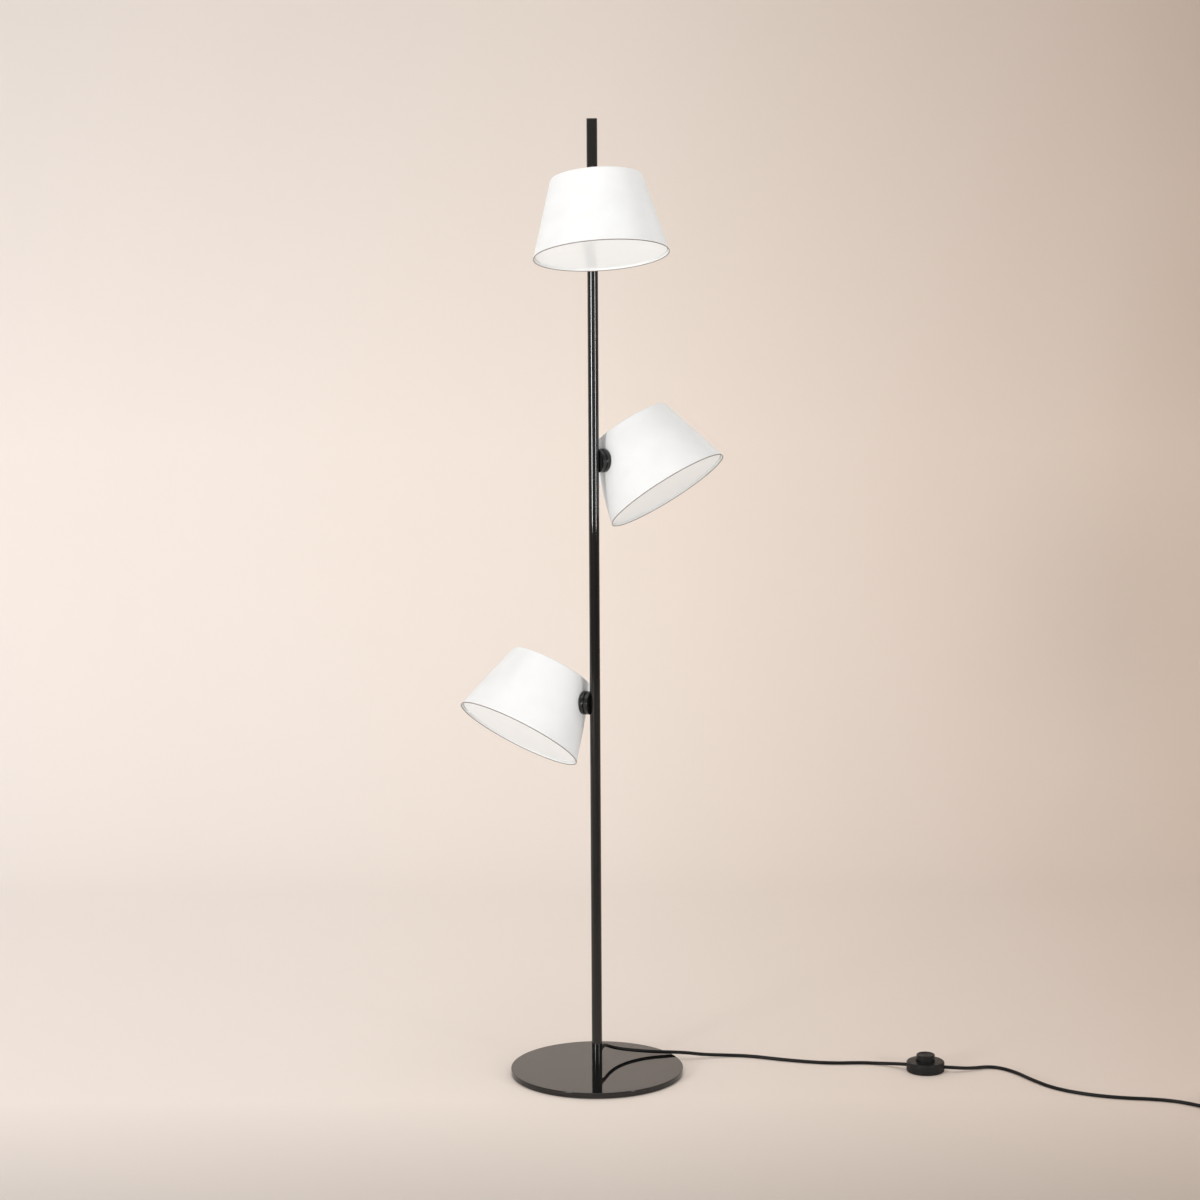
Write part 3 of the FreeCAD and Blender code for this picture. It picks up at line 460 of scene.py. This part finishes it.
# %% Switch shell and button
shell = turn_section(
    "switch_shell",
    [(31, 0.8), (32.4, 0.8), (33, 1.4), (33, 4.6), (32.5, 4.9), (32.5, 5.3), (33, 5.6), (33, 15),
     (32.77, 16.15), (32.12, 17.12), (31.15, 17.77), (30, 18), (18.6, 18), (18.2, 17.6), (17.4, 17.6),
     (17.0, 18), (16.5, 17.8), (16.5, 15.5), (31, 15.5)],
    closed=True)
soften_edges(shell, 0.15, segments=2)
button = turn_section(
    "switch_cap",
    [(7, 21.3), (7, 13.3), (19, 13.3), (19, 15.3), (16, 15.3), (16, 28.8), (15.7, 29.6), (15, 30),
     (13.4, 30), (12.4, 29), (9.4, 29), (9.1, 29.3), (8.7, 29.3), (8.4, 29), (5.4, 29), (5.1, 29.3),
     (4.7, 29.3), (4.4, 29), (1.5, 29)],
    segments=96)
soften_edges(button, 0.12, segments=2)
for piece in (shell, button):
    set_in_place(piece, Matrix.Translation((switch_centre[0] * mm, switch_centre[1] * mm, 0)))

# %% [markdown]
# The button's return spring is wound as a helix of wire that fills the height of its piece in the frame.

# %% Return spring
spring_floor, spring_ceiling = (corner[2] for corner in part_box("switch_spring"))
spring_turns, spring_radius, spring_wire = 5, 5.5 * mm, 1.0 * mm
spare = 0.01 * mm               # between the spring and what it stands against
spring_points = 24 * spring_turns
wire_curve = bpy.data.curves.new("return_spring", "CURVE")
wire_curve.dimensions = "3D"
wire_curve.bevel_depth = spring_wire / 2
wire_curve.bevel_resolution = 2
wire_curve.use_fill_caps = True
winding = wire_curve.splines.new("POLY")
winding.points.add(spring_points)
spring_axis = Vector((switch_centre[0] * mm, switch_centre[1] * mm, 0.0))
spring_rise = spring_ceiling - spring_floor - spring_wire - 2 * spare
for index, point in enumerate(winding.points):
    share = index / spring_points
    place = spring_axis + level_direction(2 * math.pi * spring_turns * share) * spring_radius
    place.z = spring_floor + spring_wire / 2 + spare + spring_rise * share
    point.co = (*place, 1.0)
return_spring = bpy.data.objects.new("return_spring", wire_curve)
bpy.context.scene.collection.objects.link(return_spring)
pick_up(return_spring)
bpy.ops.object.convert(target="MESH")
bpy.ops.object.shade_smooth_by_angle(angle=smooth_below)

# %% [markdown]
# ## What each piece belongs to
# A piece follows a body of the frame when the lamp is moved. The disc, the pole and the
# cords stand still, and the button goes down under a foot. Each new piece also hides the
# piece of the frame that it takes the place of, and says which finish it wears.

# %% Bodies and finishes of the new pieces
for piece, node, body, slot in (
    (base_disc, "base_plate", "stand", "gloss_black"),
    (pole, "pole_tube", "stand", "gloss_black"),
    (pole_cap, "pole_top_cap", "stand", "gloss_black"),
    (shell, "switch_cover", "stand", "switch_plastic"),
    (button, "switch_button", "foot_button", "switch_plastic"),
    (return_spring, "switch_spring", "stand", "steel"),
):
    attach(piece, body)
    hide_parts(node)
    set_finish(piece, slot)
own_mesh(return_spring)
for piece in shades:
    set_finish(piece, "white_shade")
for piece in diffusers:
    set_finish(piece, "opal")
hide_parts("cord_to_switch")
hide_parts("cord_to_coil", "cord_coil", "cord_tail")

# %% [markdown]
# ## Effects that the finishes share
# No real surface is one flat colour. Three small effects do most of the work, and each is
# a node group that is built once. The first mixes two close tones in soft clouds. The
# second lets the gloss wander between two values. The third gives the height of a fine
# grain, which a bump node in each finish turns into tiny dents.

# %% Helpers for node trees
def map_range(tree, from_range, to_range=(0.0, 1.0)):
    """A node that carries one range of values over to another, and stops at its ends."""
    node = tree.nodes.new("ShaderNodeMapRange")
    node.inputs["From Min"].default_value, node.inputs["From Max"].default_value = from_range
    node.inputs["To Min"].default_value, node.inputs["To Max"].default_value = to_range
    return node


def start_group(name, inputs, output):
    """A node group with a vector input, the named inputs, and one output."""
    group = bpy.data.node_groups.new(name, "ShaderNodeTree")
    group.interface.new_socket(name="Vector", in_out="INPUT", socket_type="NodeSocketVector")
    for label, kind in inputs:
        group.interface.new_socket(name=label, in_out="INPUT", socket_type=kind)
    group.interface.new_socket(name=output[0], in_out="OUTPUT", socket_type=output[1])
    source = group.nodes.new("NodeGroupInput")
    target = group.nodes.new("NodeGroupOutput")
    return group, source, target


# %% Clouds of two close tones
number, colour = "NodeSocketFloat", "NodeSocketColor"
cloudy_tone, source, target = start_group(
    "cloudy_tone", [("Scale", number), ("First", colour), ("Second", colour)], ("Color", colour))
clouds = cloudy_tone.nodes.new("ShaderNodeTexNoise")
clouds.inputs["Detail"].default_value = 5
spread = map_range(cloudy_tone, (0.32, 0.68))
blend = cloudy_tone.nodes.new("ShaderNodeMix")
blend.data_type = "RGBA"
cloudy_tone.links.new(source.outputs["Vector"], clouds.inputs["Vector"])
cloudy_tone.links.new(source.outputs["Scale"], clouds.inputs["Scale"])
cloudy_tone.links.new(clouds.outputs["Fac"], spread.inputs["Value"])
cloudy_tone.links.new(spread.outputs["Result"], blend.inputs["Factor"])
cloudy_tone.links.new(source.outputs["First"], blend.inputs["A"])
cloudy_tone.links.new(source.outputs["Second"], blend.inputs["B"])
cloudy_tone.links.new(blend.outputs["Result"], target.inputs["Color"])

# %% Gloss that wanders
uneven_gloss, source, target = start_group(
    "uneven_gloss", [("Scale", number), ("Low", number), ("High", number)], ("Roughness", number))
patches = uneven_gloss.nodes.new("ShaderNodeTexNoise")
patches.inputs["Detail"].default_value = 3
patches.inputs["Distortion"].default_value = 0.6
spread = map_range(uneven_gloss, (0.3, 0.7))
uneven_gloss.links.new(source.outputs["Vector"], patches.inputs["Vector"])
uneven_gloss.links.new(source.outputs["Scale"], patches.inputs["Scale"])
uneven_gloss.links.new(patches.outputs["Fac"], spread.inputs["Value"])
uneven_gloss.links.new(source.outputs["Low"], spread.inputs["To Min"])
uneven_gloss.links.new(source.outputs["High"], spread.inputs["To Max"])
uneven_gloss.links.new(spread.outputs["Result"], target.inputs["Roughness"])

# %% Fine grain
fine_grain, source, target = start_group("fine_grain", [("Scale", number)], ("Height", number))
grain = fine_grain.nodes.new("ShaderNodeTexNoise")
grain.inputs["Detail"].default_value = 2
fine_grain.links.new(source.outputs["Vector"], grain.inputs["Vector"])
fine_grain.links.new(source.outputs["Scale"], grain.inputs["Scale"])
fine_grain.links.new(grain.outputs["Fac"], target.inputs["Height"])
print("node groups:", [group.name for group in bpy.data.node_groups])

# %% [markdown]
# ## The finishes
# One function mixes a finish from the three effects. What changes over the surface goes
# through nodes, and what is the same everywhere, such as whether it is metal, is set on
# the shader itself. A stretch makes a brushed or drawn surface: the coordinates are
# squeezed along one axis, so the pattern's clouds become long streaks.

# %% A function that mixes a finish
def mix_finish(name, first, second, gloss, tone_scale=20, grain_scale=900, grain_depth=0.02,
               stretch=(1, 1, 1), **plain):
    """A Principled finish with cloudy colour, uneven gloss and a fine grain, depth in mm."""
    material = bpy.data.materials.new(name)
    material.use_nodes = True
    tree = material.node_tree
    shader = tree.nodes["Principled BSDF"]
    place = tree.nodes.new("ShaderNodeTexCoord")
    squeeze = tree.nodes.new("ShaderNodeMapping")
    squeeze.inputs["Scale"].default_value = stretch
    tree.links.new(place.outputs["Object"], squeeze.inputs["Vector"])

    tone = tree.nodes.new("ShaderNodeGroup")
    tone.node_tree = cloudy_tone
    tone.inputs["Scale"].default_value = tone_scale
    tone.inputs["First"].default_value = (*first, 1)
    tone.inputs["Second"].default_value = (*second, 1)
    tree.links.new(squeeze.outputs["Vector"], tone.inputs["Vector"])
    tree.links.new(tone.outputs["Color"], shader.inputs["Base Color"])

    shine = tree.nodes.new("ShaderNodeGroup")
    shine.node_tree = uneven_gloss
    shine.inputs["Scale"].default_value = tone_scale * 1.7
    shine.inputs["Low"].default_value, shine.inputs["High"].default_value = gloss
    tree.links.new(squeeze.outputs["Vector"], shine.inputs["Vector"])
    tree.links.new(shine.outputs["Roughness"], shader.inputs["Roughness"])

    texture = tree.nodes.new("ShaderNodeGroup")
    texture.node_tree = fine_grain
    texture.inputs["Scale"].default_value = grain_scale
    tree.links.new(squeeze.outputs["Vector"], texture.inputs["Vector"])
    dents = tree.nodes.new("ShaderNodeBump")
    dents.inputs["Strength"].default_value = 1.0
    dents.inputs["Distance"].default_value = grain_depth * mm
    tree.links.new(texture.outputs["Height"], dents.inputs["Height"])
    tree.links.new(dents.outputs["Normal"], shader.inputs["Normal"])

    for label, value in plain.items():
        shader.inputs[label.replace("_", " ")].default_value = value
    return material


# %% [markdown]
# The black lacquer is almost a mirror, so its gloss wanders very little. The powder coat
# on the shades is matt with a grain much finer than a millimetre. The opal disc is smoother
# than the shade and shows the pole as a soft grey streak. It also has a faint painted glow,
# an emission that brightens the disc as light would. Cord and switch are two plastics: the
# cord is drawn and smooth, and the switch comes from a mould with a dry grain. A range of
# roughness that crosses 0.27 draws fine cracks in a picture, because there the denoiser
# starts to take a surface for a mirror. So a smooth finish keeps to one side of it.

# %% Finishes
finishes = {
    "gloss_black": mix_finish(
        "black_lacquer", (0.0058, 0.0055, 0.0052), (0.0082, 0.0078, 0.0074), (0.025, 0.055), tone_scale=9,
        grain_scale=420, grain_depth=0.0012),
    "satin_black": mix_finish(
        "satin_black_paint", (0.006, 0.0057, 0.0055), (0.009, 0.0086, 0.0082), (0.13, 0.21), tone_scale=60,
        grain_scale=1500, grain_depth=0.006),
    "pad_foam": mix_finish(
        "black_foam", (0.018, 0.018, 0.018), (0.032, 0.031, 0.030), (0.86, 0.95), tone_scale=160,
        grain_scale=1100, grain_depth=0.25),
    "steel": mix_finish(
        "turned_steel", (0.46, 0.455, 0.45), (0.58, 0.575, 0.57), (0.29, 0.40), tone_scale=90,
        grain_scale=1200, grain_depth=0.006, stretch=(1, 1, 0.15), Metallic=1.0),
    "white_shade": mix_finish(
        "white_powder_coat", (0.87, 0.87, 0.865), (0.905, 0.905, 0.90), (0.56, 0.68), tone_scale=26,
        grain_scale=2200, grain_depth=0.02),
    # The opal's small emission is a painted glow that brightens the disc.
    "opal": mix_finish(
        "opal_acrylic", (0.88, 0.88, 0.87), (0.91, 0.905, 0.895), (0.29, 0.35), tone_scale=11,
        grain_scale=700, grain_depth=0.004, Emission_Color=(1, 1, 1, 1), Emission_Strength=0.03),
    "bulb_glass": mix_finish(
        "frosted_glass", (0.83, 0.83, 0.81), (0.87, 0.87, 0.86), (0.30, 0.40), tone_scale=40,
        grain_scale=2600, grain_depth=0.006),
    "white_plastic": mix_finish(
        "white_moulding", (0.78, 0.775, 0.76), (0.83, 0.825, 0.81), (0.32, 0.44), tone_scale=50,
        grain_scale=1800, grain_depth=0.01),
    "dark_washer": mix_finish(
        "fibre_washer", (0.014, 0.013, 0.012), (0.026, 0.024, 0.022), (0.62, 0.78), tone_scale=220,
        grain_scale=2400, grain_depth=0.03),
    "cord_black": mix_finish(
        "black_cord_jacket", (0.005, 0.0048, 0.0046), (0.0085, 0.008, 0.0078), (0.36, 0.48), tone_scale=45,
        grain_scale=1600, grain_depth=0.012, Specular_IOR_Level=0.2),
    "switch_plastic": mix_finish(
        "moulded_black_plastic", (0.0065, 0.0062, 0.006), (0.011, 0.0105, 0.010), (0.34, 0.46), tone_scale=55,
        grain_scale=2800, grain_depth=0.02, Specular_IOR_Level=0.25),
    "pin_metal": mix_finish(
        "nickel_pins", (0.62, 0.60, 0.56), (0.72, 0.70, 0.66), (0.16, 0.26), tone_scale=140,
        grain_scale=1500, grain_depth=0.004, stretch=(0.2, 1, 1), Metallic=1.0),
}
# A dark brown finish for the fine line round each shade's mouth.
dark_rim_line = mix_finish(
    "dark_rim_line", (0.20, 0.172, 0.148), (0.28, 0.245, 0.215), (0.42, 0.58), tone_scale=70,
    grain_scale=1400, grain_depth=0.01)

# %% [markdown]
# A new piece gets its finish from the slot it was given. A piece of the frame already has
# a plain material with the slot's name, and the finish simply takes its place there.

# %% Put the finishes on
for node in nodes.values():
    for socket in node.material_slots:
        socket.material = finishes[socket.material.name.split(".")[0]]
new_pieces = [base_disc, pole, pole_cap, shell, button, return_spring, lead_to_switch, lead_to_plug]
for piece in new_pieces + shades + diffusers:
    piece.data.materials.append(finishes[piece["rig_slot"]])
for piece in shades:
    piece.data.materials.append(dark_rim_line)
print("materials on a shade:", [material.name for material in shades[0].data.materials])
print("faces of bare rim:", sum(face.material_index == 1 for face in shades[0].data.polygons))

# %% [markdown]
# ## The studio
# The photograph has a seamless paper sweep in a warm beige that is brightest on the left.
# The sweep is one sheet: a floor, a large bend behind the lamp, and a wall. A painted light
# falloff in its colour makes it fade from left to right, so the fade needs no strong lamp
# beside the white shades. Only the eye and the mirroring lacquer see the beige and its painted
# falloff. For the soft light that the floor throws up at the diffusers, the same paper counts as pale and
# neutral.

# %% Floor and wall in one sweep
sweep_width, sweep_depth, sweep_middle, wall_height = 16, 9, -3.2, 5
bend_radius, bend_steps = 0.6, 24
put_down()
bpy.ops.mesh.primitive_plane_add(size=1, location=(0, 0, 0))
sweep = bpy.context.object
sweep.name = "paper_sweep"
bpy.ops.object.mode_set(mode="EDIT")
bpy.ops.mesh.select_all(action="SELECT")
bpy.ops.transform.resize(value=(sweep_width, sweep_depth, 1), center_override=(0, 0, 0))
bpy.ops.transform.translate(value=(0, sweep_middle, 0))
bpy.ops.mesh.select_all(action="DESELECT")
bpy.ops.object.mode_set(mode="OBJECT")
back_edge = max(vertex.co.y for vertex in sweep.data.vertices)
for vertex in sweep.data.vertices:
    vertex.select = vertex.co.y > back_edge - 0.01
bpy.ops.object.mode_set(mode="EDIT")
bpy.ops.mesh.select_mode(type="EDGE")
for index in range(bend_steps):
    before, after = (math.pi / 2 * (index + offset) / bend_steps for offset in (0, 1))
    bpy.ops.mesh.extrude_region_move(TRANSFORM_OT_translate={"value": (
        0, bend_radius * (math.sin(after) - math.sin(before)),
        bend_radius * (math.cos(before) - math.cos(after)))})
bpy.ops.mesh.extrude_region_move(TRANSFORM_OT_translate={"value": (0, 0, wall_height)})
bpy.ops.object.mode_set(mode="OBJECT")
bpy.ops.object.shade_smooth()
print("faces in the sweep:", len(sweep.data.polygons))

# %% [markdown]
# ### The paper's colour and its painted light
# A ramp of three tones runs across the sheet as a painted light falloff. Two more ranges
# paint shade on it towards the camera and, less, towards its top.

# %% Paper with a painted light falloff
paper = bpy.data.materials.new("beige_paper")
paper.use_nodes = True
tree = paper.node_tree
paper_shader = tree.nodes["Principled BSDF"]
place = tree.nodes.new("ShaderNodeTexCoord")
axes = tree.nodes.new("ShaderNodeSeparateXYZ")
across = map_range(tree, (-1.4, 1.4))
painted_shade_front = map_range(tree, (-1.12, -0.15), (0.5, 1.0))
painted_shade_top = map_range(tree, (0.9, 1.9), (1.0, 0.83))
# The ramp is painted light: the paper is brightest on the left and darker to the right.
painted_falloff_ramp = tree.nodes.new("ShaderNodeValToRGB")
painted_falloff_ramp.color_ramp.elements[0].color = (0.875, 0.79, 0.735, 1)
painted_falloff_ramp.color_ramp.elements[1].color = (0.60, 0.485, 0.405, 1)
painted_falloff_middle = painted_falloff_ramp.color_ramp.elements.new(0.5)
painted_falloff_middle.color = (0.81, 0.71, 0.635, 1)
tree.links.new(place.outputs["Object"], axes.inputs["Vector"])
tree.links.new(axes.outputs["X"], across.inputs["Value"])
tree.links.new(across.outputs["Result"], painted_falloff_ramp.inputs["Fac"])
# Painted shade: the colour darkens towards the camera and towards the top of the wall.
painted_shade_factor = tree.nodes.new("ShaderNodeMath")
painted_shade_factor.operation = "MULTIPLY"
paper_with_painted_light = tree.nodes.new("ShaderNodeVectorMath")
paper_with_painted_light.operation = "SCALE"
tree.links.new(axes.outputs["Y"], painted_shade_front.inputs["Value"])
tree.links.new(axes.outputs["Z"], painted_shade_top.inputs["Value"])
tree.links.new(painted_shade_front.outputs["Result"], painted_shade_factor.inputs[0])
tree.links.new(painted_shade_top.outputs["Result"], painted_shade_factor.inputs[1])
tree.links.new(painted_falloff_ramp.outputs["Color"], paper_with_painted_light.inputs[0])
tree.links.new(painted_shade_factor.outputs["Value"], paper_with_painted_light.inputs["Scale"])
tree.links.new(paper_with_painted_light.outputs["Vector"], paper_shader.inputs["Emission Color"])

# %% [markdown]
# ### What the eye sees and what the light meets
# The camera and the lacquer's reflections see the beige, with a small lift that makes the
# backdrop as pale as the photograph's. All other rays meet a neutral pale sheet.

# %% Beige to the eye, pale to the light
rays = tree.nodes.new("ShaderNodeLightPath")
seen = tree.nodes.new("ShaderNodeMath")
seen.operation = "MAXIMUM"
lift = tree.nodes.new("ShaderNodeMath")
lift.operation = "MULTIPLY"
lift.inputs[1].default_value = 0.09
tree.links.new(rays.outputs["Is Camera Ray"], seen.inputs[0])
tree.links.new(rays.outputs["Is Glossy Ray"], seen.inputs[1])
tree.links.new(seen.outputs["Value"], lift.inputs[0])
tree.links.new(lift.outputs["Value"], paper_shader.inputs["Emission Strength"])
bounce = tree.nodes.new("ShaderNodeMix")
bounce.data_type = "RGBA"
bounce.inputs["A"].default_value = (0.93, 0.92, 0.905, 1)
tree.links.new(seen.outputs["Value"], bounce.inputs["Factor"])
tree.links.new(paper_with_painted_light.outputs["Vector"], bounce.inputs["B"])
tree.links.new(bounce.outputs["Result"], paper_shader.inputs["Base Color"])
paper_shader.inputs["Roughness"].default_value = 0.9
paper_shader.inputs["Specular IOR Level"].default_value = 0.1

# %% [markdown]
# The wall would hide the lamp from a camera behind it. So the sheet is clear from its back,
# and the lamp can be looked at from every side.

# %% Clear from behind
side = tree.nodes.new("ShaderNodeNewGeometry")
clear = tree.nodes.new("ShaderNodeBsdfTransparent")
one_way = tree.nodes.new("ShaderNodeMixShader")
tree.links.new(side.outputs["Backfacing"], one_way.inputs["Fac"])
tree.links.new(paper_shader.outputs["BSDF"], one_way.inputs[1])
tree.links.new(clear.outputs["BSDF"], one_way.inputs[2])
tree.links.new(one_way.outputs["Shader"], tree.nodes["Material Output"].inputs["Surface"])
sweep.data.materials.append(paper)

# %% [markdown]
# ## The light
# A soft lamp stands low to the front left, a weaker one to the right, and the world fills
# the rest, so a white shade comes out just below white. The two lamps are narrow and
# stand low, and so they draw the two crisp stripes that the pole shows between its upper
# and its middle shade, and nowhere else.

# %% Lamps and world
def soft_lamp(name, place, target, width, height, power):
    """A soft rectangular lamp that faces a point."""
    data = bpy.data.lights.new(name, "AREA")
    data.shape = "RECTANGLE"
    data.size, data.size_y, data.energy = width, height, power
    lamp = bpy.data.objects.new(name, data)
    bpy.context.scene.collection.objects.link(lamp)
    aim = (Vector(target) - Vector(place)).to_track_quat("-Z", "Y").to_matrix().to_4x4()
    lamp.matrix_world = Matrix.Translation(place) @ aim


soft_lamp("key", (-2.4, -3.2, 0.85), (0, 0, 0.9), 0.6, 0.8, 62)
soft_lamp("fill", (2.9, -2.7, 0.85), (0, 0, 0.9), 0.42, 0.8, 33)
soft_lamp("overhead", (-0.4, -0.6, 4.2), (0, 0.2, 0), 3.2, 3.2, 44)
world = bpy.data.worlds.new("studio")
world.use_nodes = True
sky = world.node_tree.nodes["Background"]
sky.inputs["Color"].default_value = (1.0, 0.985, 0.97, 1)
sky.inputs["Strength"].default_value = 0.48
bpy.context.scene.world = world
bpy.context.scene.view_settings.view_transform = "Standard"

# %% [markdown]
# ## The last step
# The view layer is brought up to date once more. The pieces may not be larger than the
# frame says.

# %% Bring the view layer up to date
bpy.context.view_layer.update()
